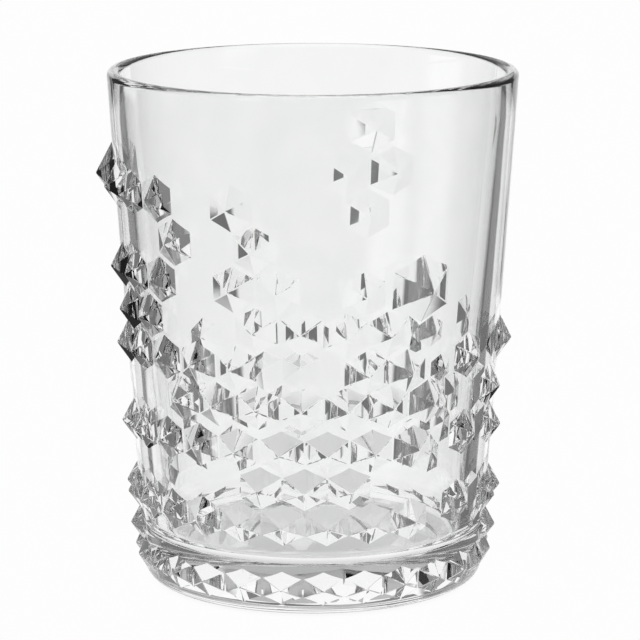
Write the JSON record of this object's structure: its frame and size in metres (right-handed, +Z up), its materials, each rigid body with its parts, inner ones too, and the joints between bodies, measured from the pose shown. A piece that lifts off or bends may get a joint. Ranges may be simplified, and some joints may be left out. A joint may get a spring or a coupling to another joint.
{
  "type": "whiskey tumbler",
  "caption": "Low tapered drinking glass of clear pressed glass, with six-sided pyramid studs, a thick base ringed by faceted gems and a rounded lip.",
  "frame": {"origin": "centre of the foot, on the surface that the glass stands on", "axes": "+Z up along the axis of the glass, -Y towards the front of its stud pattern, +X to the right seen from the front"},
  "size_m": [0.0813, 0.0812, 0.1009],
  "materials": {
    "glass": "clear pressed glass, fire-polished, faintly grey-green"
  },
  "bodies": {
    "root": {"lip": "glass", "bowl_wall": "glass", "base_slab": "glass", "gem_belt": "glass", "foot_ring": "glass"}
  },
  "joints": []
}
